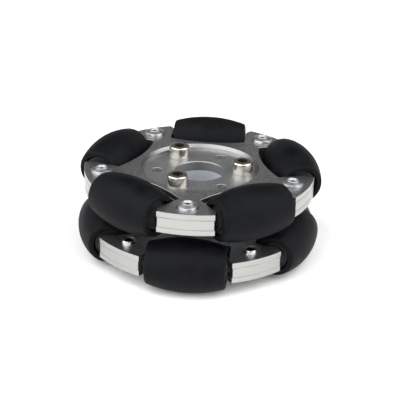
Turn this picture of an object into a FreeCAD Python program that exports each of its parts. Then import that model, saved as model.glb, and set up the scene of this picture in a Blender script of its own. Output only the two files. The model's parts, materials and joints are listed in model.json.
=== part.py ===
import FreeCAD, Part
import math
import os
import Sketcher
from FreeCAD import Placement, Rotation, Vector

# Double-row omni wheel lying on its side, in millimetres. +Z is the wheel's axis and the origin is
# its centre, midway between the two rows. Each row is a star of arms with a barrel roller between
# each pair of arms, and the lower row is turned by half a step so that its rollers fill the gaps.
doc = FreeCAD.newDocument("omni_wheel")

# Driving sizes. The chain runs outwards from the bore, and with these values the rolling circle
# comes to 100 mm across and the wheel to 42 mm high.
drivingSizes = {
    "bore_diameter": 20.0,           # shaft bore of the core plates
    "bore_chamfer": 0.3,             # bright rim of the bore
    "fastener_margin": 7.5,          # wall of the bore to the circle of screws
    "screw_diameter": 5.0,
    "screw_head_diameter": 8.5,
    "screw_head_height": 5.0,
    "screw_head_rounding": 0.9,
    "screw_socket_width": 4.0,       # across the flats of the hexagon
    "screw_socket_depth": 2.6,
    "screw_tail": 1.2,               # screw end past its nut
    "screw_tip_chamfer": 0.6,
    "fastener_clearance": 0.1,       # radial play of a screw in its hole
    "mount_hole_diameter": 4.5,      # open holes between the screws
    "mount_hole_chamfer": 0.15,
    "thread_clearance": 0.02,        # radial play of a screw in its nut
    "nut_width": 8.0,
    "nut_height": 4.0,
    "screw_head_gap": 1.45,          # screw head to the edge of the recess
    "opening_chamfer": 1.2,          # bevel around the recess
    "hub_rim": 3.4,                  # edge of the recess to the bottom of a roller pocket
    "pocket_clearance": 2.1,         # roller belly to its pocket
    "spacer_clearance": 1.2,         # spacer ring to the edge of the opening around it
    "spacer_bore_clearance": 0.25,   # spacer bore past the shaft bore, radial
    "roller_diameter": 21.3,         # at the belly
    "row_nesting": 0.5,              # roller diameter less the distance between the two rows
    "row_overlap": 0.17,             # end of a roller past the ends of the other row's rollers
    "roller_end_gap": 0.5,           # roller end to the side of an arm
    "lip_width": 1.9,                # rubber lip around a roller's dished end
    "lip_radius": 1.2,
    "dish_depth": 1.3,
    "bond_clearance": 0.02,          # radial, between pieces that are moulded or pressed together
    "roller_core_wall": 2.2,
    "roller_core_relief": 0.3,       # radial, bore of the core around the axle
    "bush_wall": 1.2,
    "bush_flange_overhang": 1.2,     # flange past the bush, radial
    "bush_depth": 5.0,
    "bush_end_play": 0.2,            # bush flange to the side of an arm
    "axle_diameter": 4.0,
    "axle_running_clearance": 0.05,  # radial, bush on axle
    "axle_seat_clearance": 0.02,     # axle to the plates that trap it
    "axle_seat_depth": 3.5,          # axle inside the arm
    "axle_chamfer": 0.4,
    "cover_thickness": 2.25,
    "edge_break": 0.12,              # chamfer along the outline of a plate
    "tip_setback": 3.0,              # arm tip inside the rolling circle
    "arm_tip_width": 22.0,
    "arm_shoulder_radius": 2.0,
    "core_side_inset": 0.3,          # side of a core plate's arm behind the cover plates
    "rivet_inset": 6.7,              # arm tip to the middle of its rivet
    "rivet_diameter": 4.0,
    "rivet_hole_clearance": 0.05,
    "rivet_head_overhang": 2.3,      # dome head past the rivet's shank
    "rivet_head_height": 2.0,
    "rivet_head_rim": 0.45,
    "rivet_crown_radius": 3.3,
    "rivet_funnel_width": 1.0,       # hollow that slopes down to the eye of a rivet
    "rivet_funnel_depth": 0.9,
    "rivet_bulb_overhang": 0.75,
    "rivet_bulb_height": 2.2,
    "rivet_bulb_rounding": 0.7,
    "mandrel_diameter": 2.3,
    "mandrel_recess": 1.1,           # broken mandrel end below the top of its rivet
    "mandrel_chamfer": 0.3,
    "mandrel_length": 6.0,
}
sizes = doc.addObject("Spreadsheet::Sheet", "sizes")
for row, (alias, size) in enumerate(drivingSizes.items(), start=1):
    sizes.set(f"A{row}", alias)
    sizes.set(f"B{row}", str(size))
    sizes.setAlias(f"B{row}", alias)
doc.recompute()

# Arrangement: arms and rollers in a row, and where the first ones point
rollersPerRow = 5
screwCount = 3
rollerStep = 360 / rollersPerRow
armTurn = rollerStep / 2
firstRoller = {"upper": 18, "lower": 198}
rowSide = {"upper": 1, "lower": -1}
firstScrew = firstRoller["upper"] + rollerStep + armTurn
fastenerTurns = [firstScrew + 180 / screwCount * place for place in range(2 * screwCount)]
screwTurns, mountTurns = fastenerTurns[::2], fastenerTurns[1::2]

# Worked-out sizes, as expressions of the sheet
fastenerRadius = "(sizes.bore_diameter / 2 + sizes.fastener_margin)"
fastenerHole = "(sizes.screw_diameter / 2 + sizes.fastener_clearance)"
mountHole = "(sizes.mount_hole_diameter / 2)"
openingRadius = f"({fastenerRadius} + sizes.screw_head_diameter / 2 + sizes.screw_head_gap)"
rollerRadius = "(sizes.roller_diameter / 2)"
axleRadius = f"({openingRadius} + sizes.hub_rim + sizes.pocket_clearance + {rollerRadius})"
wheelRadius = f"({axleRadius} + {rollerRadius})"
rollerHalf = f"({wheelRadius} * sin({armTurn / 2} deg) + sizes.row_overlap)"
coreHalf = f"({rollerHalf} - sizes.dish_depth)"
armSide = f"({rollerHalf} + sizes.roller_end_gap)"
bushRadius = "(sizes.axle_diameter / 2 + sizes.axle_running_clearance + sizes.bush_wall)"
rollerCoreRadius = f"({bushRadius} + sizes.bond_clearance + sizes.roller_core_wall)"
tipRadius = f"({wheelRadius} - sizes.tip_setback)"
rivetRadius = f"({tipRadius} - sizes.rivet_inset)"
rivetHole = "(sizes.rivet_diameter / 2 + sizes.rivet_hole_clearance)"
coreThickness = "(sizes.axle_diameter + 2 * sizes.axle_seat_clearance)"
stackHeight = f"({coreThickness} + 2 * sizes.cover_thickness)"
rowHeight = "((sizes.roller_diameter - sizes.row_nesting) / 2)"
coreFace, coreBack = (f"({rowHeight} {sign} {coreThickness} / 2)" for sign in "+-")
coverFace, coverBack = (f"({rowHeight} {sign} {stackHeight} / 2)" for sign in "+-")


def number(expression):
    return float(sizes.evalExpression(expression))


def polar(radius, turn):
    return f"{radius} * cos({turn} deg)", f"{radius} * sin({turn} deg)"


# Sketching
def newBody(name, place=("0", "0", "0"), rotation=Rotation()):
    body = doc.addObject("PartDesign::Body", name)
    body.Label = name
    body.Placement = Placement(Vector(), rotation)
    for axis, expression in zip("xyz", place):
        body.setExpression(f".Placement.Base.{axis}", expression)
    return body


def newSketch(body, role, name):
    sketch = body.newObject("Sketcher::SketchObject", f"{body.Name}_{name}")
    support = next(item for item in body.Origin.OriginFeatures if item.Role == role)
    sketch.AttachmentSupport = [(support, "")]
    sketch.MapMode = "FlatFace"
    return sketch


def pinPoint(sketch, geometry, end, corner):
    # x is measured from the vertical axis of the sketch, y from the horizontal one
    for kind, axis, expression in zip(("DistanceX", "DistanceY"), (-2, -1), corner):
        distance = number(expression)
        if math.isclose(distance, 0, abs_tol=1e-9):
            sketch.addConstraint(Sketcher.Constraint("PointOnObject", geometry, end, axis))
        elif distance > 0:
            place = sketch.addConstraint(Sketcher.Constraint(kind, -1, 1, geometry, end, distance))
            sketch.setExpression(f"Constraints[{place}]", expression)
        else:
            place = sketch.addConstraint(Sketcher.Constraint(kind, geometry, end, -1, 1, -distance))
            sketch.setExpression(f"Constraints[{place}]", f"-({expression})")


def setRadius(sketch, geometry, radius):
    place = sketch.addConstraint(Sketcher.Constraint("Radius", geometry, number(radius)))
    sketch.setExpression(f"Constraints[{place}]", radius)


def drawCircle(sketch, centre, radius):
    middle = Vector(number(centre[0]), number(centre[1]), 0)
    geometry = sketch.addGeometry(Part.Circle(middle, Vector(0, 0, 1), number(radius)), False)
    pinPoint(sketch, geometry, 3, centre)
    setRadius(sketch, geometry, radius)


def arcBetween(start, finish, radius, bulge):
    # bulge 1 turns left on the way, -1 turns right
    chord = finish - start
    left = Vector(-chord.y, chord.x, 0).normalize()
    offset = math.sqrt(radius ** 2 - (chord.Length / 2) ** 2)
    centre = (start + finish) * 0.5 + left * (offset * bulge)
    first, last = (start, finish) if bulge > 0 else (finish, start)
    angles = [math.atan2((point - centre).y, (point - centre).x) for point in (first, last)]
    return Part.ArcOfCircle(Part.Circle(centre, Vector(0, 0, 1), radius), *angles)


def drawProfile(sketch, corners, arcs=None):
    # Closed outline through the corners. arcs: number of a corner to (radius, bulge) of the arc after it
    arcs = arcs or {}
    points = [Vector(number(x), number(y), 0) for x, y in corners]
    sides = []
    for index, start in enumerate(points):
        finish = points[(index + 1) % len(points)]
        if index in arcs:
            radius, bulge = arcs[index]
            geometry = sketch.addGeometry(arcBetween(start, finish, number(radius), bulge), False)
            setRadius(sketch, geometry, radius)
            sides.append((geometry, 1, 2) if bulge > 0 else (geometry, 2, 1))
        else:
            geometry = sketch.addGeometry(Part.LineSegment(start, finish), False)
            sides.append((geometry, 1, 2))
    for index, (geometry, first, last) in enumerate(sides):
        before, beforeFirst, beforeLast = sides[index - 1]
        sketch.addConstraint(Sketcher.Constraint("Coincident", before, beforeLast, geometry, first))
        pinPoint(sketch, geometry, first, corners[index])


# Features
def addPad(body, sketch, length):
    pad = body.newObject("PartDesign::Pad", f"{body.Name}_pad")
    pad.Profile = sketch
    pad.setExpression("Length", length)
    return pad


def addThroughPocket(body, sketch):
    pocket = body.newObject("PartDesign::Pocket", f"{sketch.Name}_pocket")
    pocket.Profile = sketch
    pocket.Type = "ThroughAll"
    pocket.Reversed = True
    return pocket


def addTurning(body, role, corners, arcs=None):
    # Solid turned about the vertical axis of its sketch: x is the radius, y runs along the axis
    sketch = newSketch(body, role, "section")
    drawProfile(sketch, corners, arcs)
    turning = body.newObject("PartDesign::Revolution", f"{body.Name}_turning")
    turning.Profile = sketch
    turning.ReferenceAxis = (sketch, ["V_Axis"])
    turning.Angle = 360
    return turning


def addPolarPattern(body, features, count):
    pattern = body.newObject("PartDesign::PolarPattern", f"{body.Name}_pattern")
    pattern.Originals = features
    pattern.Axis = (features[0].Profile[0], ["N_Axis"])
    pattern.Angle = 360
    pattern.Occurrences = count
    body.Tip = pattern
    return pattern


def edgesWhere(feature, wanted):
    doc.recompute()
    edges = enumerate(feature.Shape.Edges, start=1)
    return [f"Edge{index}" for index, edge in edges if wanted(edge)]


def addEdgeFeature(body, kind, feature, edges, sizeName, size):
    dressing = body.newObject(f"PartDesign::{kind}", f"{body.Name}_{kind.lower()}")
    dressing.Base = (feature, edges)
    dressing.setExpression(sizeName, size)
    body.Tip = dressing
    return dressing


def isFlat(edge):
    return edge.BoundBox.ZLength < 1e-6


def isCircle(edge, radius):
    return edge.Curve.TypeId == "Part::GeomCircle" and math.isclose(edge.Curve.Radius, radius, abs_tol=1e-6)


def addGroup(name, pieces):
    group = doc.addObject("Part::Compound", name)
    group.Label = name
    group.Links = pieces
    return group


def drawFastenerHoles(sketch, turned):
    # Screw holes and open holes in turn on one circle, in a sketch that is turned about the axis
    for turns, radius in ((screwTurns, fastenerHole), (mountTurns, mountHole)):
        for turn in turns:
            drawCircle(sketch, polar(fastenerRadius, turn - turned), radius)


# Star plates
def drawRollerPocket(sketch, side, halfWidth):
    # Room for one roller, whose axle stands square to x: a hollow that follows the belly, straight
    # sides along the roller's ends, then the flanks of the two arm tips
    bottom = f"(2 * {axleRadius} - sqrt(({wheelRadius} + sizes.pocket_clearance)^2 - {side}^2))"
    shoulder = f"(({side} * cos({armTurn} deg) + {halfWidth}) / sin({armTurn} deg))"
    tangent = f"(sizes.arm_shoulder_radius * tan({armTurn / 2} deg))"
    flankX = f"({shoulder} + {tangent} * cos({armTurn} deg))"
    flankY = f"({side} + {tangent} * sin({armTurn} deg))"
    mouthX = f"(2 * {wheelRadius})"
    mouthY = f"(({mouthX} * sin({armTurn} deg) - {halfWidth}) / cos({armTurn} deg))"
    half = [(bottom, side), (f"({shoulder} - {tangent})", side), (flankX, flankY), (mouthX, mouthY)]
    corners = [(x, f"-{y}") for x, y in half] + half[::-1]
    rounding = ("sizes.arm_shoulder_radius", -1)
    hollow = (f"({wheelRadius} + sizes.pocket_clearance)", 1)
    drawProfile(sketch, corners, {1: rounding, 5: rounding, 7: hollow})


def starBlank(name, row, base, thickness, holeRadius, side, halfWidth):
    # Disc with its central hole and rivet holes, and the sketch of one roller pocket
    body = newBody(name, ("0", "0", base), Rotation(Vector(0, 0, 1), firstRoller[row]))
    outline = newSketch(body, "XY_Plane", "outline")
    drawCircle(outline, ("0", "0"), tipRadius)
    drawCircle(outline, ("0", "0"), holeRadius)
    for arm in range(rollersPerRow):
        drawCircle(outline, polar(rivetRadius, armTurn + arm * rollerStep), rivetHole)
    addPad(body, outline, thickness)
    pocket = newSketch(body, "XY_Plane", "roller")
    drawRollerPocket(pocket, side, halfWidth)
    return body, outline, pocket


def coverPlate(name, row, base, openFace):
    # The opening is bevelled on the face that lies open, 1 for the upper face and -1 for the lower one
    thickness, halfWidth = "sizes.cover_thickness", "(sizes.arm_tip_width / 2)"
    body, outline, pocket = starBlank(name, row, base, thickness, openingRadius, armSide, halfWidth)
    star = addPolarPattern(body, [addThroughPocket(body, pocket)], rollersPerRow)
    opening, rivet = number(openingRadius), number(rivetHole)
    rimHeight = number(thickness) if openFace > 0 else 0
    rims = edgesWhere(star, lambda edge: isCircle(edge, opening) and math.isclose(
        edge.Curve.Center.z, rimHeight, abs_tol=1e-6))
    bevelled = addEdgeFeature(body, "Chamfer", star, rims, "Size", "sizes.opening_chamfer")
    inside = opening + number("sizes.opening_chamfer")
    outer = edgesWhere(bevelled, lambda edge: isFlat(edge) and not any(
        isCircle(edge, radius) for radius in (opening, inside, rivet)))
    addEdgeFeature(body, "Chamfer", bevelled, outer, "Size", "sizes.edge_break")
    return body


def corePlate(name, row, base):
    side = f"({armSide} + sizes.core_side_inset)"
    halfWidth = "(sizes.arm_tip_width / 2 - sizes.core_side_inset)"
    shaftBore = "(sizes.bore_diameter / 2)"
    body, outline, pocket = starBlank(name, row, base, coreThickness, shaftBore, side, halfWidth)
    drawFastenerHoles(outline, firstRoller[row])
    slot = newSketch(body, "XY_Plane", "axle")
    slotHalf = f"({coreThickness} / 2)"
    slotEnd = f"({armSide} + sizes.axle_seat_depth)"
    low, high = f"({axleRadius} - {slotHalf})", f"({axleRadius} + {slotHalf})"
    drawProfile(slot, [(low, f"-{slotEnd}"), (high, f"-{slotEnd}"), (high, slotEnd), (low, slotEnd)])
    cuts = [addThroughPocket(body, pocket), addThroughPocket(body, slot)]
    star = addPolarPattern(body, cuts, rollersPerRow)
    holes = [number(radius) for radius in (shaftBore, mountHole, fastenerHole, rivetHole)]
    outer = edgesWhere(star, lambda edge: isFlat(edge) and not any(isCircle(edge, radius) for radius in holes))
    broken = addEdgeFeature(body, "Chamfer", star, outer, "Size", "sizes.edge_break")
    rims = edgesWhere(broken, lambda edge: isCircle(edge, number(shaftBore)))
    bevelled = addEdgeFeature(body, "Chamfer", broken, rims, "Size", "sizes.bore_chamfer")
    mouths = edgesWhere(bevelled, lambda edge: isCircle(edge, number(mountHole)))
    addEdgeFeature(body, "Chamfer", bevelled, mouths, "Size", "sizes.mount_hole_chamfer")
    return body


def rowPlates(row):
    # The lower row's plates are the upper row's, turned about the axis and set below the middle
    side = rowSide[row]
    outer, core, inner = coreFace, coreBack, coverBack
    if side < 0:
        outer, core, inner = f"-{coverFace}", f"-{coreFace}", f"-{coreBack}"
    return [coverPlate(f"{row}_outer_plate", row, outer, side), corePlate(f"{row}_core_plate", row, core),
            coverPlate(f"{row}_inner_plate", row, inner, -side)]


# Rivets: their axis is the body's Z, outwards, from the outer face of the plates
def rivet(name, place, rotation):
    body = newBody(name, place, rotation)
    shank = "(sizes.rivet_diameter / 2)"
    head = f"({shank} + sizes.rivet_head_overhang)"
    bulb = f"({shank} + sizes.rivet_bulb_overhang)"
    bulbEnd = f"-({stackHeight} + sizes.rivet_bulb_height)"
    eye = "(sizes.mandrel_diameter / 2 + sizes.bond_clearance)"
    eyeBottom = "(sizes.rivet_head_height - sizes.mandrel_recess - sizes.mandrel_length)"
    corners = [
        ("0", bulbEnd), (f"({bulb} - sizes.rivet_bulb_rounding)", bulbEnd),
        (bulb, f"({bulbEnd} + sizes.rivet_bulb_rounding)"), (bulb, f"-{stackHeight}"),
        (shank, f"-{stackHeight}"), (shank, "0"), (head, "0"), (head, "sizes.rivet_head_rim"),
        (f"({eye} + sizes.rivet_funnel_width)", "sizes.rivet_head_height"),
        (eye, "(sizes.rivet_head_height - sizes.rivet_funnel_depth)"), (eye, eyeBottom), ("0", eyeBottom),
    ]
    roundings = {1: ("sizes.rivet_bulb_rounding", 1), 7: ("sizes.rivet_crown_radius", 1)}
    addTurning(body, "XZ_Plane", corners, roundings)
    return body


def mandrel(name, place, rotation):
    body = newBody(name, place, rotation)
    radius = "(sizes.mandrel_diameter / 2)"
    top = "(sizes.rivet_head_height - sizes.mandrel_recess)"
    bottom = f"({top} - sizes.mandrel_length)"
    addTurning(body, "XZ_Plane", [
        ("0", bottom), (radius, bottom), (radius, f"({top} - sizes.mandrel_chamfer)"),
        (f"({radius} - sizes.mandrel_chamfer)", top), ("0", top)])
    return body


def rowRivets(row):
    side = rowSide[row]
    facing = Rotation() if side > 0 else Rotation(Vector(1, 0, 0), 180)
    rivets, mandrels = [], []
    for arm in range(rollersPerRow):
        turn = firstRoller[row] + armTurn + arm * rollerStep
        place = (*polar(rivetRadius, turn), f"{side} * {coverFace}")
        rivets.append(rivet(f"{row}_rivet_{arm + 1}", place, facing))
        mandrels.append(mandrel(f"{row}_mandrel_{arm + 1}", place, facing))
    return [addGroup(f"{row}_rivets", rivets), addGroup(f"{row}_rivet_mandrels", mandrels)]


# Rollers: their axis is the body's Y, along the rim of the wheel
def tyre(name, place, rotation):
    body = newBody(name, place, rotation)
    end = f"(sqrt({wheelRadius}^2 - {rollerHalf}^2) - {axleRadius})"
    mouth = f"({end} - sizes.lip_width)"
    hole = f"({rollerCoreRadius} + sizes.bond_clearance)"
    half = [(hole, coreHalf), (mouth, rollerHalf), (end, rollerHalf)]
    corners = [(x, f"-{y}") for x, y in half] + half[::-1]
    barrel = addTurning(body, "XY_Plane", corners, {2: (wheelRadius, 1)})
    lips = edgesWhere(barrel, lambda edge: isCircle(edge, number(end)))
    addEdgeFeature(body, "Fillet", barrel, lips, "Radius", "sizes.lip_radius")
    return body


def rollerCore(name, place, rotation):
    # Sleeve with a seat for a bush at each end
    body = newBody(name, place, rotation)
    relief = "(sizes.axle_diameter / 2 + sizes.roller_core_relief)"
    seat = f"({bushRadius} + sizes.bond_clearance)"
    seatEnd = f"({coreHalf} - sizes.bush_depth)"
    half = [(relief, seatEnd), (seat, seatEnd), (seat, coreHalf), (rollerCoreRadius, coreHalf)]
    addTurning(body, "XY_Plane", [(x, f"-{y}") for x, y in half] + half[::-1])
    return body


def bush(name, place, rotation, end):
    # Flanged bush at one end of the roller, 1 or -1 along the axle
    body = newBody(name, place, rotation)
    bore = "(sizes.axle_diameter / 2 + sizes.axle_running_clearance)"
    flange = f"({bushRadius} + sizes.bush_flange_overhang)"
    inner = f"({coreHalf} - sizes.bush_depth)"
    outer = f"({armSide} - sizes.bush_end_play)"
    corners = [(bore, inner), (bushRadius, inner), (bushRadius, coreHalf), (flange, coreHalf),
               (flange, outer), (bore, outer)]
    if end < 0:
        corners = [(x, f"-{y}") for x, y in corners[::-1]]
    addTurning(body, "XY_Plane", corners)
    return body


def axle(name, place, rotation):
    body = newBody(name, place, rotation)
    radius = "(sizes.axle_diameter / 2)"
    half = f"({armSide} + sizes.axle_seat_depth - sizes.axle_seat_clearance)"
    nose = [(radius, f"({half} - sizes.axle_chamfer)"), (f"({radius} - sizes.axle_chamfer)", half),
            ("0", half)]
    addTurning(body, "XY_Plane", [(x, f"-{y}") for x, y in nose[::-1]] + nose)
    return body


def rowRollers(row):
    pieces = []
    for roller in range(rollersPerRow):
        turn = firstRoller[row] + roller * rollerStep
        place = (*polar(axleRadius, turn), f"{rowSide[row]} * {rowHeight}")
        rotation = Rotation(Vector(0, 0, 1), turn)
        mark = f"{row}_{{}}_{roller + 1}"
        ends = {"bush_a": 1, "bush_b": -1}
        bushes = [bush(mark.format(label), place, rotation, end) for label, end in ends.items()]
        pieces += [
            tyre(mark.format("tyre"), place, rotation),
            rollerCore(mark.format("roller_core"), place, rotation),
            addGroup(mark.format("bushes"), bushes),
            axle(mark.format("axle"), place, rotation)]
    return pieces


# Hub: the ring between the rows, and what clamps it
def hubSpacer():
    body = newBody("hub_spacer", ("0", "0", f"-{coreBack}"))
    section = newSketch(body, "XY_Plane", "section")
    drawCircle(section, ("0", "0"), f"({openingRadius} - sizes.spacer_clearance)")
    drawCircle(section, ("0", "0"), "(sizes.bore_diameter / 2 + sizes.spacer_bore_clearance)")
    drawFastenerHoles(section, 0)
    addPad(body, section, f"(2 * {coreBack})")
    return body


def hexagon(width):
    return [polar(f"({width} / sqrt(3))", 60 * corner) for corner in range(6)]


def capScrew(name, turn):
    body = newBody(name, (*polar(fastenerRadius, turn), coreFace), Rotation(Vector(0, 0, 1), turn))
    shank, head = "(sizes.screw_diameter / 2)", "(sizes.screw_head_diameter / 2)"
    bevel, rounding = "sizes.screw_tip_chamfer", "sizes.screw_head_rounding"
    tip = f"-(2 * {coreFace} + sizes.nut_height + sizes.screw_tail)"
    corners = [
        ("0", tip), (f"({shank} - {bevel})", tip), (shank, f"({tip} + {bevel})"), (shank, "0"), (head, "0"),
        (head, f"(sizes.screw_head_height - {rounding})"),
        (f"({head} - {rounding})", "sizes.screw_head_height"), ("0", "sizes.screw_head_height")]
    addTurning(body, "XZ_Plane", corners, {5: (rounding, 1)})
    socket = newSketch(body, "XY_Plane", "socket")
    socket.setExpression(".AttachmentOffset.Base.z", "sizes.screw_head_height")
    drawProfile(socket, hexagon("sizes.screw_socket_width"))
    pocket = body.newObject("PartDesign::Pocket", f"{name}_socket_pocket")
    pocket.Profile = socket
    pocket.setExpression("Length", "sizes.screw_socket_depth")
    return body


def hexNut(name, turn):
    place = (*polar(fastenerRadius, turn), f"-({coreFace} + sizes.nut_height)")
    body = newBody(name, place, Rotation(Vector(0, 0, 1), turn))
    outline = newSketch(body, "XY_Plane", "outline")
    drawProfile(outline, hexagon("sizes.nut_width"))
    drawCircle(outline, ("0", "0"), "(sizes.screw_diameter / 2 + sizes.thread_clearance)")
    addPad(body, outline, "sizes.nut_height")
    return body


def hub():
    places = list(enumerate(screwTurns, start=1))
    screws = [capScrew(f"cap_screw_{place}", turn) for place, turn in places]
    nuts = [hexNut(f"hex_nut_{place}", turn) for place, turn in places]
    return [hubSpacer(), addGroup("cap_screws", screws), addGroup("hex_nuts", nuts)]


subParts = hub()
for row in rowSide:
    subParts += rowPlates(row) + rowRivets(row) + rowRollers(row)
doc.recompute()

failed = [item.Name for item in doc.Objects if "Invalid" in item.State or "Error" in item.State]
failed += [part.Label for part in subParts if part.Shape.isNull() or not part.Shape.isValid()]
if failed:
    raise RuntimeError(f"failed to build: {', '.join(failed)}")

os.makedirs("parts", exist_ok=True)
for part in subParts:
    part.Shape.exportStep(f"parts/{part.Label}.step")
print(f"{len(subParts)} sub-parts, rolling circle {2 * number(wheelRadius):.2f} mm across")
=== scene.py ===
import bpy
import json
import math
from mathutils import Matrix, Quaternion, Vector


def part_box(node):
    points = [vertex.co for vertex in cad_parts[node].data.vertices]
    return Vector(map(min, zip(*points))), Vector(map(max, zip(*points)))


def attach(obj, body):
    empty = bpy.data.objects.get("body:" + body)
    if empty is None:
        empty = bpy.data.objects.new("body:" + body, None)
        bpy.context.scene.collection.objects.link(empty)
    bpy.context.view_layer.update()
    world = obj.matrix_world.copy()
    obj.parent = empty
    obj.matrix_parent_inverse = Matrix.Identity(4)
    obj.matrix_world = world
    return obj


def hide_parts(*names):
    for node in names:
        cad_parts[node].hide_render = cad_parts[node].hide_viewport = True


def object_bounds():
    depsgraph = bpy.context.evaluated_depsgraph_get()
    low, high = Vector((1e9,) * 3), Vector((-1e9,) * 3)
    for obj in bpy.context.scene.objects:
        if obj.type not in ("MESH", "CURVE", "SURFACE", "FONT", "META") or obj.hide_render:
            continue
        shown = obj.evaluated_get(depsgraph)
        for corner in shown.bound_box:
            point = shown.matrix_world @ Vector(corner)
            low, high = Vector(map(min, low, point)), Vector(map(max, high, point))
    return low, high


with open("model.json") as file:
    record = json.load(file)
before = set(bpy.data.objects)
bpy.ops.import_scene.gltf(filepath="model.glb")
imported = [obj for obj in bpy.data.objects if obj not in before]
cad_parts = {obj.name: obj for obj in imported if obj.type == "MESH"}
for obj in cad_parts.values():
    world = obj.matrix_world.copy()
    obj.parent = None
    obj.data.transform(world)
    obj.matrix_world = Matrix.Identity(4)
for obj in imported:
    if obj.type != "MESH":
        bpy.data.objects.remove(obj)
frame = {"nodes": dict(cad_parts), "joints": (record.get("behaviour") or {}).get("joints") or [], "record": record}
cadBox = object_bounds()
nodes = frame["nodes"]
mm = 0.001
print("frame loaded:", len(nodes), "CAD nodes")


# Camera: a long lens a little above the wheel. Distances and sensor in mm, angles in degrees, focal length
# and centre in pixels of a square frame
photoView = {"azimuth": 5.9, "elevation": 24.805, "roll": 1.576, "distance": 422.07, "focal": 1015.14,
             "centre": (198.84, 198.20), "frameSize": 400, "sensor": 36.0, "clip": (10, 20000)}


def addCamera():
    azimuth, elevation = math.radians(photoView["azimuth"]), math.radians(photoView["elevation"])
    level = math.cos(elevation)
    back = Vector((math.sin(azimuth) * level, -math.cos(azimuth) * level, math.sin(elevation)))
    size = photoView["frameSize"]
    camera = bpy.data.objects.new("photoCamera", bpy.data.cameras.new("photoCamera"))
    bpy.context.scene.collection.objects.link(camera)
    camera.location = back * photoView["distance"] * mm
    camera.rotation_euler = (-back).to_track_quat("-Z", "Y").to_euler()
    camera.rotation_euler.rotate_axis("Z", math.radians(photoView["roll"]))
    camera.data.sensor_width = photoView["sensor"]
    camera.data.lens = photoView["focal"] / size * photoView["sensor"]
    camera.data.shift_x = 0.5 - photoView["centre"][0] / size
    camera.data.shift_y = photoView["centre"][1] / size - 0.5
    camera.data.clip_start, camera.data.clip_end = (distance * mm for distance in photoView["clip"])
    bpy.context.scene.camera = camera


addCamera()
print("camera set")


# Materials
def linear(hexColour):
    # sRGB hex to linear, with full alpha
    shares = [int(hexColour[place:place + 2], 16) / 255 for place in (1, 3, 5)]
    curve = [share / 12.92 if share <= 0.04045 else ((share + 0.055) / 1.055) ** 2.4 for share in shares]
    return curve + [1]


def addNode(material, kind, inputs, settings=None):
    # An input that is a socket is linked, and any other value is set
    node = material.node_tree.nodes.new(f"ShaderNode{kind}")
    for name, value in (settings or {}).items():
        setattr(node, name, value)
    for name, value in inputs.items():
        if isinstance(value, bpy.types.NodeSocket):
            material.node_tree.links.new(value, node.inputs[name])
        else:
            node.inputs[name].default_value = value
    return node


def perMetre(size):
    # Pattern scale for features that lie this many millimetres apart
    return 1 / (size * mm)


def startMaterial(name):
    # Empty node tree with the place on the piece, in metres
    material = bpy.data.materials.new(name)
    material.use_nodes = True
    material.node_tree.nodes.clear()
    return material, addNode(material, "TexCoord", {}).outputs["Object"]


def endMaterial(material, inputs):
    shader = addNode(material, "BsdfPrincipled", inputs)
    addNode(material, "OutputMaterial", {"Surface": shader.outputs["BSDF"]})
    return material


# Noise detail: how many finer layers a pattern has
fewLayers, someLayers, manyLayers = 2.0, 3.0, 4.0

# The bevel colour is painted shade that dims the highlight the tilted faces catch; the hole-wall colour is painted
# light; the seam colour is painted shade in the grooves between the plates, with some dirt
plateFinish = {"light": "#cfd0d0", "dark": "#9d9e9f", "edge": "#b0afad", "bevel": "#8f9091",
               "seamShadeAndDirt": "#7a7b7c", "paintedHoleLight": "#c9c9c7", "roughness": (0.30, 0.41), "grain": 0.5,
               "grainHeight": 0.014, "cloud": 9.0, "speckle": (0.36, 0.64), "bevelTilt": (0.3, 0.6),
               "sheetTilt": (0.78, 0.95), "seamWidth": 0.14, "patchyDirtAndShade": (0.38, 0.6), "seamStart": 25.0,
               "holeCircle": (17.5, 3.0), "recess": 23.0, "recessRoughness": 0.09}


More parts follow.
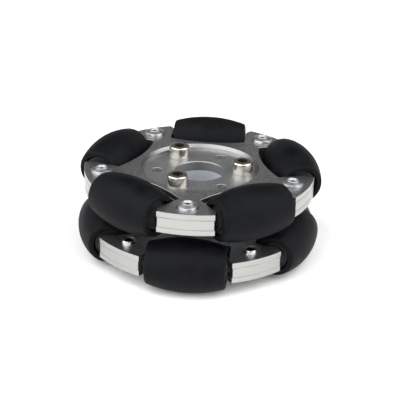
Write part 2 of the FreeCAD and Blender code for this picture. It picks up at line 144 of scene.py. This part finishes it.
def plateAluminium():
    # Tumbled sheet aluminium: satin faces with a fine sparkle, a little cloudy from place to place,
    # plain cut edges, bevels painted darker as painted shade, hole walls on the screw circle painted lighter as
    # painted light, a rougher turned recess, and a dark seam line between a core plate and its covers that is
    # painted shade in the groove with some dirt. The real grain is finer, and is drawn as coarse as it needs to
    # show
    material, place = startMaterial("plateAluminium")
    cloud = addNode(material, "TexNoise", {
        "Vector": place, "Scale": perMetre(plateFinish["cloud"]), "Detail": someLayers}).outputs["Fac"]
    grain = addNode(material, "TexNoise", {
        "Vector": place, "Scale": perMetre(plateFinish["grain"]), "Detail": fewLayers}).outputs["Fac"]
    low, high = plateFinish["speckle"]
    speckle = addNode(material, "MapRange", {
        "Value": grain, "From Min": low, "From Max": high}).outputs["Result"]
    sheet = addNode(material, "Mix", {
        0: speckle, 6: linear(plateFinish["dark"]), 7: linear(plateFinish["light"])}, {"data_type": "RGBA"})
    normal = addNode(material, "TexCoord", {}).outputs["Normal"]
    facing = addNode(material, "SeparateXYZ", {"Vector": normal}).outputs["Z"]
    level = addNode(material, "Math", {0: facing}, {"operation": "ABSOLUTE"}).outputs["Value"]
    # Tilted faces (bevels) get a darker colour: painted shade that dims the highlight they catch
    low, high = plateFinish["bevelTilt"]
    paintedBevelShade = addNode(material, "MapRange", {
        "Value": level, "From Min": low, "From Max": high}).outputs["Result"]
    low, high = plateFinish["sheetTilt"]
    flat = addNode(material, "MapRange", {
        "Value": level, "From Min": low, "From Max": high}).outputs["Result"]
    # The seam line: painted shade in the groove between a core plate and its covers, with some dirt, patchy from
    # place to place, on the covered arms only
    bottom, top = (corner.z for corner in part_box("upper_core_plate"))
    height = addNode(material, "SeparateXYZ", {"Vector": place}).outputs["Z"]
    height = addNode(material, "Math", {0: height}, {"operation": "ABSOLUTE"}).outputs["Value"]
    fromCore = addNode(material, "Math", {
        0: height, 1: (bottom + top) / 2}, {"operation": "SUBTRACT"}).outputs["Value"]
    fromCore = addNode(material, "Math", {0: fromCore}, {"operation": "ABSOLUTE"}).outputs["Value"]
    seamWidth = plateFinish["seamWidth"] * mm
    seamShadeAndDirt = addNode(material, "Math", {
        0: fromCore, 1: (top - bottom) / 2, 2: seamWidth}, {"operation": "COMPARE"}).outputs["Value"]
    across = addNode(material, "VectorMath", {
        0: place, 1: (1, 1, 0)}, {"operation": "MULTIPLY"}).outputs["Vector"]
    radius = addNode(material, "VectorMath", {0: across}, {"operation": "LENGTH"}).outputs["Value"]
    covered = addNode(material, "Math", {
        0: radius, 1: plateFinish["seamStart"] * mm}, {"operation": "GREATER_THAN"}).outputs["Value"]
    low, high = plateFinish["patchyDirtAndShade"]
    patchyDirtAndShade = addNode(material, "MapRange", {
        "Value": cloud, "From Min": low, "From Max": high}).outputs["Result"]
    for share in (covered, patchyDirtAndShade):
        seamShadeAndDirt = addNode(material, "Math", {0: seamShadeAndDirt, 1: share}, {"operation": "MULTIPLY"}).outputs["Value"]
    # Hole walls on the screw circle are painted lighter: painted light on walls that lie in shade
    middle, reach = plateFinish["holeCircle"]
    paintedHoleLight = addNode(material, "Math", {
        0: radius, 1: middle * mm, 2: reach * mm}, {"operation": "COMPARE"}).outputs["Value"]
    colour = linear(plateFinish["edge"])
    for share, over in ((paintedHoleLight, linear(plateFinish["paintedHoleLight"])), (paintedBevelShade, linear(plateFinish["bevel"])),
                        (seamShadeAndDirt, linear(plateFinish["seamShadeAndDirt"])), (flat, sheet.outputs[2])):
        colour = addNode(material, "Mix", {0: share, 6: colour, 7: over}, {"data_type": "RGBA"}).outputs[2]
    low, high = plateFinish["roughness"]
    rough = addNode(material, "MapRange", {"Value": cloud, "To Min": low, "To Max": high}).outputs["Result"]
    turned = addNode(material, "Math", {
        0: radius, 1: plateFinish["recess"] * mm}, {"operation": "LESS_THAN"}).outputs["Value"]
    rougher = plateFinish["recessRoughness"]
    rough = addNode(material, "Math", {
        0: turned, 1: rougher, 2: rough}, {"operation": "MULTIPLY_ADD"}).outputs["Value"]
    bump = addNode(material, "Bump", {"Height": grain, "Distance": plateFinish["grainHeight"] * mm})
    return endMaterial(material, {
        "Base Color": colour, "Metallic": 1.0, "Roughness": rough, "Normal": bump.outputs["Normal"]})


metalFinishes = {
    "rivetAluminium": {"colour": "#a2a3a5", "roughness": (0.32, 0.42), "grain": 0.6, "height": 0.008},
    "nickelPlating": {"colour": "#c4c0b8", "roughness": (0.19, 0.28), "grain": 0.8, "height": 0.004},
    # Socket faces: thin brown plating, darkened further as painted shade inside the socket
    "socketSteelAndShade": {"colour": "#5d564c", "roughness": (0.4, 0.55), "grain": 0.5, "height": 0.01},
    # The rivet eye's colour is painted shade
    "paintedEyeShade": {"colour": "#4c4d4e", "roughness": (0.5, 0.65), "grain": 0.4, "height": 0.01},
    # The rivet mouth: scuffed, and a little lighter as a painted highlight
    "scuffedAluminiumAndHighlight": {"colour": "#b0b1b3", "roughness": (0.5, 0.6), "grain": 0.4, "height": 0.01},
    "pulledAluminium": {"colour": "#dcddde", "roughness": (0.10, 0.16), "grain": 0.6, "height": 0.004},
    "snappedSteel": {"colour": "#8f9092", "roughness": (0.3, 0.5), "grain": 0.3, "height": 0.03},
    "blackenedSteel": {"colour": "#303134", "roughness": (0.4, 0.5), "grain": 0.4, "height": 0.003},
}


def bareMetal(name):
    # Small metal pieces: headed rivets with scuffed mouths painted a little lighter as a painted highlight, eyes
    # painted dark as painted shade, smooth pulled bulbs, bright plated screws with thin brown plating inside their
    # sockets, darkened as painted shade, snapped mandrels and blackened pins.
    # The polish varies a little, so that the reflections are not those of a mirror
    finish = metalFinishes[name]
    material, place = startMaterial(name)
    grain = addNode(material, "TexNoise", {
        "Vector": place, "Scale": perMetre(finish["grain"]), "Detail": someLayers}).outputs["Fac"]
    low, high = finish["roughness"]
    rough = addNode(material, "MapRange", {"Value": grain, "To Min": low, "To Max": high})
    bump = addNode(material, "Bump", {"Height": grain, "Distance": finish["height"] * mm})
    return endMaterial(material, {
        "Base Color": linear(finish["colour"]), "Metallic": 1.0, "Roughness": rough.outputs["Result"],
        "Normal": bump.outputs["Normal"]})


rubberFinish = {"dark": "#040506", "light": "#0f1012", "sheen": "#f4f5ff", "roughness": (0.52, 0.66),
                "skin": 0.35, "skinHeight": 0.012, "cloud": 6.0, "bloom": (0.34, 0.66), "refraction": 1.52,
                "gloss": 0.1}


def mouldedRubber():
    # Black moulded rubber: matte, with a dull broad highlight and a cloudy bloom. The skin's real texture
    # is finer, and is drawn as coarse as it needs to show
    material, place = startMaterial("mouldedRubber")
    cloud = addNode(material, "TexNoise", {
        "Vector": place, "Scale": perMetre(rubberFinish["cloud"]), "Detail": manyLayers}).outputs["Fac"]
    skin = addNode(material, "TexNoise", {
        "Vector": place, "Scale": perMetre(rubberFinish["skin"]), "Detail": fewLayers}).outputs["Fac"]
    low, high = rubberFinish["bloom"]
    bloom = addNode(material, "MapRange", {
        "Value": cloud, "From Min": low, "From Max": high}).outputs["Result"]
    colour = addNode(material, "Mix", {
        0: bloom, 6: linear(rubberFinish["dark"]), 7: linear(rubberFinish["light"])}, {"data_type": "RGBA"})
    low, high = rubberFinish["roughness"]
    rough = addNode(material, "MapRange", {"Value": bloom, "To Min": low, "To Max": high})
    bump = addNode(material, "Bump", {"Height": skin, "Distance": rubberFinish["skinHeight"] * mm})
    return endMaterial(material, {
        "Base Color": colour.outputs[2], "Roughness": rough.outputs["Result"],
        "IOR": rubberFinish["refraction"], "Specular IOR Level": rubberFinish["gloss"],
        "Specular Tint": linear(rubberFinish["sheen"]), "Normal": bump.outputs["Normal"]})


nylonRefraction = 1.53
plasticFinishes = {
    "naturalNylon": {
        "colour": "#b3b7bd", "shade": "#abafb6", "roughness": 0.42, "grain": 1.2, "height": 0.01},
    "greyBushNylon": {
        "colour": "#28292c", "shade": "#1f2023", "roughness": 0.36, "grain": 0.6, "height": 0.008},
    "blackCoreNylon": {
        "colour": "#0e0f10", "shade": "#0a0b0c", "roughness": 0.6, "grain": 0.6, "height": 0.01},
}


def turnedPlastic(name):
    # Nylon, moulded or turned: soft sheen and slight tool marks
    finish = plasticFinishes[name]
    material, place = startMaterial(name)
    grain = addNode(material, "TexNoise", {
        "Vector": place, "Scale": perMetre(finish["grain"]), "Detail": someLayers}).outputs["Fac"]
    colour = addNode(material, "Mix", {
        0: grain, 6: linear(finish["colour"]), 7: linear(finish["shade"])}, {"data_type": "RGBA"})
    bump = addNode(material, "Bump", {"Height": grain, "Distance": finish["height"] * mm})
    return endMaterial(material, {
        "Base Color": colour.outputs[2], "Roughness": finish["roughness"], "IOR": nylonRefraction,
        "Normal": bump.outputs["Normal"]})


materials = {"plate": plateAluminium(), "tyre": mouldedRubber()}
materials |= {name: bareMetal(name) for name in metalFinishes}
materials |= {name: turnedPlastic(name) for name in plasticFinishes}
slotMaterials = {
    "plate_aluminium": "plate", "rivet_aluminium": "rivetAluminium", "mandrel_steel": "snappedSteel",
    "tyre_rubber": "tyre", "core_plastic": "blackCoreNylon", "bush_plastic": "greyBushNylon",
    "axle_steel": "blackenedSteel", "natural_nylon": "naturalNylon", "nickel_plated_steel": "nickelPlating"}


def dress(piece, slot):
    piece.data.materials.clear()
    piece.data.materials.append(materials[slotMaterials[slot]])


for subpart in frame["record"]["subparts"]:
    dress(nodes[subpart["node"]], subpart["material_slot"])
print("materials:", len(materials))


# Modelling with Blender's own tools
weld = 0.001 * mm
up = Vector((0, 0, 1))
# Cutting tools reach this far past the faces they cut, in mm, so that no two faces lie in one plane
toolReach = 1.0


def roundOff(corners, steps=5):
    # (radius, height) outline from corners (radius, height, rounding), each rounding drawn as an arc
    points = []
    for index, (radius, height, rounding) in enumerate(corners):
        corner = Vector((radius, height))
        if not rounding:
            points.append(corner)
            continue
        before = (Vector(corners[index - 1][:2]) - corner).normalized()
        after = (Vector(corners[(index + 1) % len(corners)][:2]) - corner).normalized()
        half = before.angle(after) / 2
        middle = corner + (before + after).normalized() * (rounding / math.sin(half))
        first, last = (corner + arm * (rounding / math.tan(half)) - middle for arm in (before, after))
        points += [middle + first.slerp(last, step / steps) * rounding for step in range(steps + 1)]
    return points


def turnOnLathe(name, outline, segments):
    # A plane merged to one point, drawn out along the outline in mm and spun about Z
    bpy.ops.object.select_all(action="DESELECT")
    bpy.ops.mesh.primitive_plane_add(size=mm)
    piece = bpy.context.object
    piece.name = piece.data.name = name
    bpy.ops.object.mode_set(mode="EDIT")
    bpy.ops.mesh.merge(type="CENTER")
    places = [Vector((point[0], 0, point[1])) * mm for point in outline]
    bpy.ops.transform.translate(value=places[0])
    for before, after in zip(places, places[1:]):
        bpy.ops.mesh.extrude_region_move(TRANSFORM_OT_translate={"value": after - before})
    bpy.ops.mesh.select_all(action="SELECT")
    bpy.ops.mesh.spin(steps=segments, angle=math.tau, center=(0, 0, 0), axis=(0, 0, 1))
    bpy.ops.mesh.select_all(action="SELECT")
    bpy.ops.mesh.remove_doubles(threshold=weld)
    bpy.ops.mesh.normals_make_consistent(inside=False)
    bpy.ops.object.mode_set(mode="OBJECT")
    return piece


def makeActive(piece):
    bpy.ops.object.select_all(action="DESELECT")
    piece.select_set(True)
    bpy.context.view_layer.objects.active = piece


def combine(piece, tool, operation):
    # Cuts or trims the piece with a closed tool, which is then thrown away, and clears up after the cut
    makeActive(piece)
    change = piece.modifiers.new(operation.lower(), "BOOLEAN")
    change.operation, change.object, change.solver = operation, tool, "EXACT"
    bpy.ops.object.modifier_apply(modifier=change.name)
    bpy.data.objects.remove(tool)
    bpy.ops.object.mode_set(mode="EDIT")
    bpy.ops.mesh.select_all(action="SELECT")
    bpy.ops.mesh.remove_doubles(threshold=weld)
    bpy.ops.mesh.dissolve_degenerate(threshold=weld)
    bpy.ops.mesh.normals_make_consistent(inside=False)
    bpy.ops.object.mode_set(mode="OBJECT")


def smooth(piece, angle=35):
    makeActive(piece)
    bpy.ops.object.shade_smooth_by_angle(angle=math.radians(angle))


def setCopy(model, name, place, axis, spin=0):
    # A copy with its own mesh, its Z along the axis, its place moved into the mesh
    piece = model.copy()
    piece.data = model.data.copy()
    piece.name = piece.data.name = name
    bpy.context.scene.collection.objects.link(piece)
    makeActive(piece)
    piece.rotation_mode = "QUATERNION"
    piece.rotation_quaternion = up.rotation_difference(axis) @ Quaternion(up, spin)
    piece.location = place
    bpy.ops.object.transform_apply(location=True, rotation=True, scale=True)
    piece.rotation_mode = "XYZ"
    return piece


def solidsOf(node):
    # Lowest and highest corner of each solid in a CAD node that holds several, from a merged copy
    copy = nodes[node].copy()
    copy.data = nodes[node].data.copy()
    bpy.context.scene.collection.objects.link(copy)
    makeActive(copy)
    bpy.ops.object.mode_set(mode="EDIT")
    bpy.ops.mesh.select_all(action="SELECT")
    bpy.ops.mesh.remove_doubles(threshold=weld)
    bpy.ops.mesh.separate(type="LOOSE")
    bpy.ops.object.mode_set(mode="OBJECT")
    boxes = []
    for solid in bpy.context.selected_objects:
        boxes.append((Vector(solid.bound_box[0]), Vector(solid.bound_box[6])))
        bpy.data.objects.remove(solid)
    return sorted(boxes, key=tuple)


def stand(piece, body, node, slot):
    # The piece rides on the body in the CAD node's stead
    dress(piece, slot)
    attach(piece, body)
    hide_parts(node)


# Tyres: a barrel that fills the wheel's rolling circle, with a rounded lip and a dished end
tyreShape = {"lipRadius": 1.2, "lipWidth": 1.9, "dishDepth": 1.3, "mouthRadius": 0.3, "rings": 24,
             "segments": 96}


def modelTyre(joint):
    # Half length, bore and belly are those of the CAD tyre around the joint's axis
    middle, axis = Vector(joint["pos_m"]), Vector(joint["axis"])
    solid = nodes[joint["child"].replace("roller", "tyre")].data
    offsets = [corner.co - middle for corner in solid.vertices]
    along = [offset.dot(axis) / mm for offset in offsets]
    away = [offset.cross(axis).length / mm for offset in offsets]
    half, bore, belly = max(along), min(away), max(away)
    axisRadius = middle.xy.length / mm
    wheelRadius = axisRadius + belly
    end = math.sqrt(wheelRadius ** 2 - half ** 2) - axisRadius
    reach = half - tyreShape["lipRadius"]
    rings = tyreShape["rings"]
    heights = [reach * (2 * ring / rings - 1) for ring in range(rings + 1)]
    barrel = [(math.sqrt(wheelRadius ** 2 - height ** 2) - axisRadius, height, 0) for height in heights]
    lip = [(bore, half - tyreShape["dishDepth"], 0),
           (end - tyreShape["lipWidth"], half, tyreShape["mouthRadius"]),
           (end, half, tyreShape["lipRadius"])]
    outline = roundOff([(x, -y, rounding) for x, y, rounding in lip] + barrel + lip[::-1])
    model = turnOnLathe("tyreModel", outline + outline[:1], tyreShape["segments"])
    smooth(model)
    return model


tyreModel = modelTyre(frame["joints"][0])
for joint in frame["joints"]:
    node = joint["child"].replace("roller", "tyre")
    tyre = setCopy(tyreModel, f"rubber_{node}", Vector(joint["pos_m"]), Vector(joint["axis"]))
    stand(tyre, joint["child"], node, "tyre_rubber")
bpy.data.objects.remove(tyreModel)
print("tyres done")


# Blind rivets: a dome head with a funnel down to its eye, and a pulled bulb on the far side
rivetShape = {"shank": 2.0, "rim": 0.15, "rimEdge": 0.06, "dome": 3.95, "domeDrop": 0.95,
              "domeRounding": 0.35, "collarFoot": 2.28, "collarDrop": 0.2, "collarTop": 2.12, "mouth": 1.98,
              "mouthEdge": 0.04, "eye": 1.17, "funnelDepth": 0.72, "eyeEdge": 0.04, "eyeDepth": 2.6,
              "bulbCrown": 2.45, "crownDrop": 0.7, "crownEdge": 0.2, "bulbRadius": 2.75, "bulbBelly": 0.45,
              "bellyRounding": 0.3, "bulbFoot": 2.65, "segments": 64}
mandrelShape = {"edge": 0.1, "burr": 0.35, "snapRadius": 0.8, "snapRing": 0.4, "raggedRadius": 0.72,
                "raggedness": 0.06, "seed": 7, "arcSteps": 3, "segments": 24}


def modelRivet(solid):
    # Heights are counted from the outer face of the plates
    face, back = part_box("upper_outer_plate")[1].z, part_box("upper_inner_plate")[0].z
    head = (solid[1].x - solid[0].x) / 2 / mm
    top, stack, bulbEnd = ((height / mm) for height in (solid[1].z - face, face - back, face - solid[0].z))
    shape = rivetShape
    corners = [
        (0, -bulbEnd, 0), (shape["bulbCrown"], shape["crownDrop"] - bulbEnd, shape["crownEdge"]),
        (shape["bulbRadius"], -stack - shape["bulbBelly"], shape["bellyRounding"]),
        (shape["bulbFoot"], -stack, 0), (shape["shank"], -stack, 0), (shape["shank"], 0, 0),
        (head, 0, shape["rimEdge"]), (head, shape["rim"], shape["rimEdge"]),
        (shape["dome"], top - shape["domeDrop"], shape["domeRounding"]),
        (shape["collarFoot"], top - shape["collarDrop"], shape["mouthEdge"]),
        (shape["collarTop"], top, shape["mouthEdge"]), (shape["mouth"], top, shape["mouthEdge"]),
        (shape["eye"], top - shape["funnelDepth"], shape["eyeEdge"]),
        (shape["eye"], top - shape["eyeDepth"], 0), (0, top - shape["eyeDepth"], 0)]
    model = turnOnLathe("rivetModel", roundOff(corners), shape["segments"])
    smooth(model)
    return model


def modelMandrel(solid):
    # The snapped end is a little ragged
    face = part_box("upper_outer_plate")[1].z
    radius = (solid[1].x - solid[0].x) / 2 / mm
    low, top = ((height - face) / mm for height in (solid[0].z, solid[1].z))
    edge, foot = mandrelShape["edge"], top - mandrelShape["burr"]
    corners = [
        (0, low, 0), (radius, low, edge), (radius, foot, edge), (mandrelShape["snapRadius"], top, edge),
        (mandrelShape["snapRing"], top, 0), (0, top, 0)]
    outline = roundOff(corners, mandrelShape["arcSteps"])
    model = turnOnLathe("mandrelModel", outline, mandrelShape["segments"])
    makeActive(model)
    bpy.ops.object.mode_set(mode="EDIT")
    bpy.ops.mesh.select_all(action="DESELECT")
    bpy.ops.object.mode_set(mode="OBJECT")
    for corner in model.data.vertices:
        away = corner.co.xy.length / mm
        corner.select = corner.co.z / mm > foot and away < mandrelShape["raggedRadius"]
    bpy.ops.object.mode_set(mode="EDIT")
    bpy.ops.transform.vertex_random(offset=mandrelShape["raggedness"] * mm, seed=mandrelShape["seed"])
    bpy.ops.object.mode_set(mode="OBJECT")
    smooth(model)
    return model


def finishInside(piece, finish, place, axis, radius, low, high):
    # Faces within this radius of the axis, between two heights over the place, get a material of their own
    piece.data.materials.append(materials[finish])
    for face in piece.data.polygons:
        offset = face.center - place
        if low < offset.dot(axis) < high and offset.cross(axis).length < radius:
            face.material_index = len(piece.data.materials) - 1


rivetModel = modelRivet(solidsOf("upper_rivets")[0])
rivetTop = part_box("upper_rivets")[1].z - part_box("upper_outer_plate")[1].z
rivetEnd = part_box("upper_rivets")[0].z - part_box("upper_outer_plate")[1].z
eyeBottom, eyeTop = (rivetTop - rivetShape[depth] * mm for depth in ("eyeDepth", "funnelDepth"))
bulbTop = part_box("upper_inner_plate")[0].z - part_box("upper_outer_plate")[1].z
rivetFinishes = {
    # radius and the two heights between which the finish lies, from the outer face of the plates
    # The mouth ring: scuffed, and painted a little lighter as a painted highlight
    "scuffedAluminiumAndHighlight": (rivetShape["collarFoot"] * mm, eyeTop, rivetTop + weld),
    # The eye is painted dark: painted shade
    "paintedEyeShade": (rivetShape["eye"] * mm + weld, eyeBottom - weld, eyeTop),
    "pulledAluminium": (rivetShape["bulbRadius"] * mm, rivetEnd - weld, bulbTop - weld)}
mandrelModel = modelMandrel(solidsOf("upper_rivet_mandrels")[0])
for row, side in (("upper", 1), ("lower", -1)):
    face = max(abs(corner.z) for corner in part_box(f"{row}_outer_plate")) * side
    for index, (low, high) in enumerate(solidsOf(f"{row}_rivets"), start=1):
        place = Vector(((low.x + high.x) / 2, (low.y + high.y) / 2, face))
        rivet = setCopy(rivetModel, f"{row}_blind_rivet_{index}", place, up * side)
        stand(rivet, "hub", f"{row}_rivets", "rivet_aluminium")
        for finish, (radius, bottom, top) in rivetFinishes.items():
            finishInside(rivet, finish, place, up * side, radius, bottom, top)
        mandrel = setCopy(mandrelModel, f"{row}_snapped_mandrel_{index}", place, up * side)
        stand(mandrel, "hub", f"{row}_rivet_mandrels", "mandrel_steel")
bpy.data.objects.remove(rivetModel)
bpy.data.objects.remove(mandrelModel)
print("rivets done")


# Cap screws with a hexagon socket, and the nuts on their tails
screwShape = {"shank": 2.5, "underEdge": 0.15, "headEdge": 0.9, "socketWidth": 4.0, "socketDepth": 2.6,
              "drillRadius": 1.9, "drillRise": 0.1, "drillDepth": 0.7, "tipBevel": 0.6, "pitch": 0.8,
              "threadDepth": 0.42, "threadLength": 9.0, "segments": 64}
nutShape = {"width": 8.0, "bore": 2.52, "boreBevel": 0.4, "cornerSlope": 30, "washerFace": 0.96,
            "segments": 64}


def hexagonPrism(name, width, low, high):
    # A hexagon of this width across its flats, between two heights
    bpy.ops.object.select_all(action="DESELECT")
    bpy.ops.mesh.primitive_cylinder_add(
        vertices=6, radius=width / math.sqrt(3) * mm, depth=(high - low) * mm,
        location=(0, 0, (low + high) / 2 * mm))
    prism = bpy.context.object
    prism.name = prism.data.name = name
    bpy.ops.object.transform_apply(location=True, rotation=True, scale=True)
    return prism


def modelScrew(solid, seat):
    # Heights are counted from the seat of the head
    shape = screwShape
    shank, depth, pitch = shape["shank"], shape["threadDepth"], shape["pitch"]
    head = (solid[1].x - solid[0].x) / 2 / mm
    top, tip = ((height - seat) / mm for height in (solid[1].z, solid[0].z))
    thread = [(shank, tip + shape["tipBevel"], 0)]
    for turn in range(int(shape["threadLength"] / pitch)):
        height = tip + shape["tipBevel"] + turn * pitch
        thread += [(shank - depth, height + pitch / 2, 0), (shank, height + pitch, 0)]
    corners = [(0, tip, 0), (shank - shape["tipBevel"], tip, 0)] + thread + [
        (shank, 0, 0), (head, 0, shape["underEdge"]), (head, top, shape["headEdge"]), (0, top, 0)]
    model = turnOnLathe("screwModel", roundOff(corners), shape["segments"])
    width, bottom = shape["socketWidth"], top - shape["socketDepth"]
    combine(model, hexagonPrism("socketTool", width, bottom, top + toolReach), "DIFFERENCE")
    drill = [(0, bottom - shape["drillDepth"], 0), (shape["drillRadius"], bottom + shape["drillRise"], 0),
             (shape["drillRadius"], top + toolReach, 0), (0, top + toolReach, 0)]
    combine(model, turnOnLathe("drillTool", roundOff(drill), shape["segments"]), "DIFFERENCE")
    smooth(model)
    return model


def modelNut(solid):
    # A hexagon trimmed by a turned disc that slopes off its corners, then bored
    low, high = ((height - solid[0].z) / mm for height in (solid[0].z, solid[1].z))
    flat = nutShape["width"] / 2
    corner, face = flat / math.cos(math.pi / 6) + toolReach, flat * nutShape["washerFace"]
    drop = (corner - face) * math.tan(math.radians(nutShape["cornerSlope"]))
    model = hexagonPrism("nutModel", nutShape["width"], low - toolReach, high + toolReach)
    disc = [(0, low, 0), (face, low, 0), (corner, low + drop, 0), (corner, high - drop, 0), (face, high, 0),
            (0, high, 0)]
    combine(model, turnOnLathe("cornerTool", roundOff(disc), nutShape["segments"]), "INTERSECT")
    bore, bevel = nutShape["bore"], nutShape["boreBevel"]
    mouth, reach = bore + bevel + toolReach, toolReach
    hole = [(0, low - reach, 0), (mouth, low - reach, 0), (bore, low + bevel, 0), (bore, high - bevel, 0),
            (mouth, high + reach, 0), (0, high + reach, 0)]
    combine(model, turnOnLathe("boreTool", roundOff(hole), nutShape["segments"]), "DIFFERENCE")
    smooth(model)
    return model


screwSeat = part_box("upper_core_plate")[1].z
screwSolids, nutSolids = solidsOf("cap_screws"), solidsOf("hex_nuts")
screwModel, nutModel = modelScrew(screwSolids[0], screwSeat), modelNut(nutSolids[0])
socketCorner, headTop = screwShape["socketWidth"] / math.sqrt(3) * mm, screwSolids[0][1].z - screwSeat
for index, (screwBox, nutBox) in enumerate(zip(screwSolids, nutSolids), start=1):
    middle = (screwBox[0] + screwBox[1]) / 2
    turn = math.atan2(middle.y, middle.x)
    place = Vector((middle.x, middle.y, screwSeat))
    screw = setCopy(screwModel, f"cap_screw_{index}", place, up, turn)
    stand(screw, "hub", "cap_screws", "nickel_plated_steel")
    # The socket's faces get the brown plating, darkened as painted shade
    finishInside(screw, "socketSteelAndShade", place, up, socketCorner, 0, headTop - weld)
    nut = setCopy(nutModel, f"hex_nut_{index}", Vector((middle.x, middle.y, nutBox[0].z)), up, turn)
    stand(nut, "hub", "hex_nuts", "nickel_plated_steel")
bpy.data.objects.remove(screwModel)
bpy.data.objects.remove(nutModel)
print("screws and nuts done")


# Floor and soft studio light
floorShape = {"size": 6000, "colour": "#fafaf9", "roughness": 0.9}
softBoxes = {
    # degrees from the camera's side and above the floor, distance and size in mm, power in watts
    "leftBox": {"azimuth": -58, "elevation": 44, "distance": 2600, "size": (5400, 3250), "power": 154.0},
    "rightBox": {"azimuth": 71, "elevation": 43, "distance": 2600, "size": (3200, 3150), "power": 93.0},
}
studioWalls = {
    # sine of the height above the horizon to brightness
    "brightness": ((0.0, 0.9), (0.06, 0.9), (0.2, 0.25), (0.34, 0.12), (0.7, 0.15), (1.0, 0.26)),
}


def towards(azimuth, elevation):
    # Direction from the wheel, azimuth counted from the camera's side
    turn, rise = math.radians(photoView["azimuth"] + azimuth), math.radians(elevation)
    level = math.cos(rise)
    return Vector((math.sin(turn) * level, -math.cos(turn) * level, math.sin(rise)))


def addFloor():
    bpy.ops.object.select_all(action="DESELECT")
    bpy.ops.mesh.primitive_plane_add(size=floorShape["size"] * mm, location=(0, 0, cadBox[0].z))
    floor = bpy.context.object
    floor.name = "paleFloor"
    paper = startMaterial("paleFloorPaper")[0]
    floor.data.materials.append(endMaterial(paper, {
        "Base Color": linear(floorShape["colour"]), "Roughness": floorShape["roughness"]}))


def addSoftBox(name, box):
    lamp = bpy.data.lights.new(name, "AREA")
    lamp.shape, lamp.energy = "RECTANGLE", box["power"]
    lamp.size, lamp.size_y = (side * mm for side in box["size"])
    holder = bpy.data.objects.new(name, lamp)
    bpy.context.scene.collection.objects.link(holder)
    holder.location = towards(box["azimuth"], box["elevation"]) * box["distance"] * mm
    holder.rotation_euler = (-holder.location).to_track_quat("-Z", "Y").to_euler()


def addWalls():
    world = bpy.data.worlds.new("studioWalls")
    world.use_nodes = True
    world.node_tree.nodes.clear()
    direction = addNode(world, "TexCoord", {}).outputs["Generated"]
    height = addNode(world, "SeparateXYZ", {"Vector": direction}).outputs["Z"]
    ramp = addNode(world, "ValToRGB", {"Fac": height})
    stops = studioWalls["brightness"]
    while len(ramp.color_ramp.elements) < len(stops):
        ramp.color_ramp.elements.new(1.0)
    for stop, (place, grey) in zip(ramp.color_ramp.elements, stops):
        stop.position, stop.color = place, (grey, grey, grey, 1)
    glow = addNode(world, "Background", {"Color": ramp.outputs["Color"]})
    addNode(world, "OutputWorld", {"Surface": glow.outputs["Background"]})
    bpy.context.scene.world = world


addFloor()
for name, box in softBoxes.items():
    addSoftBox(name, box)
addWalls()
bpy.context.scene.view_settings.view_transform = "Standard"
print("floor and light set")
